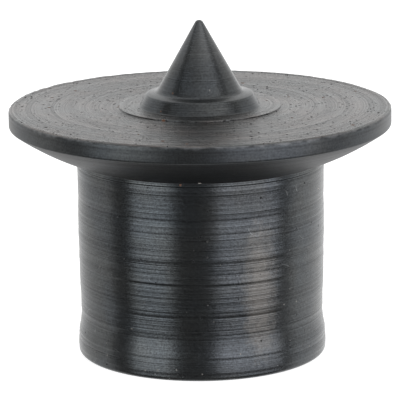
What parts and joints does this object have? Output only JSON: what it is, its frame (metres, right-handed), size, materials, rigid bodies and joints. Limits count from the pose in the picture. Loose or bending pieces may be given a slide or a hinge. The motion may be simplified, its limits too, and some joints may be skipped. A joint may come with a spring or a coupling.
{
  "type": "dowel center",
  "caption": "Round steel button with a plain shank, a wide thin flange and a short conical point, dropped into a drilled dowel hole to prick its position onto the mating board.",
  "frame": {"origin": "centre of the shank's flat end face, which is the lowest face of the part", "axes": "+Z along the axis of revolution, from the shank's end face up to the point; X and Y are free, because the part is round"},
  "size_m": [0.0184, 0.0184, 0.0162],
  "materials": {
    "black_oxide_steel": "turned steel with a satin black oxide finish"
  },
  "bodies": {
    "root": {"dowel_center": "black_oxide_steel"}
  },
  "joints": []
}
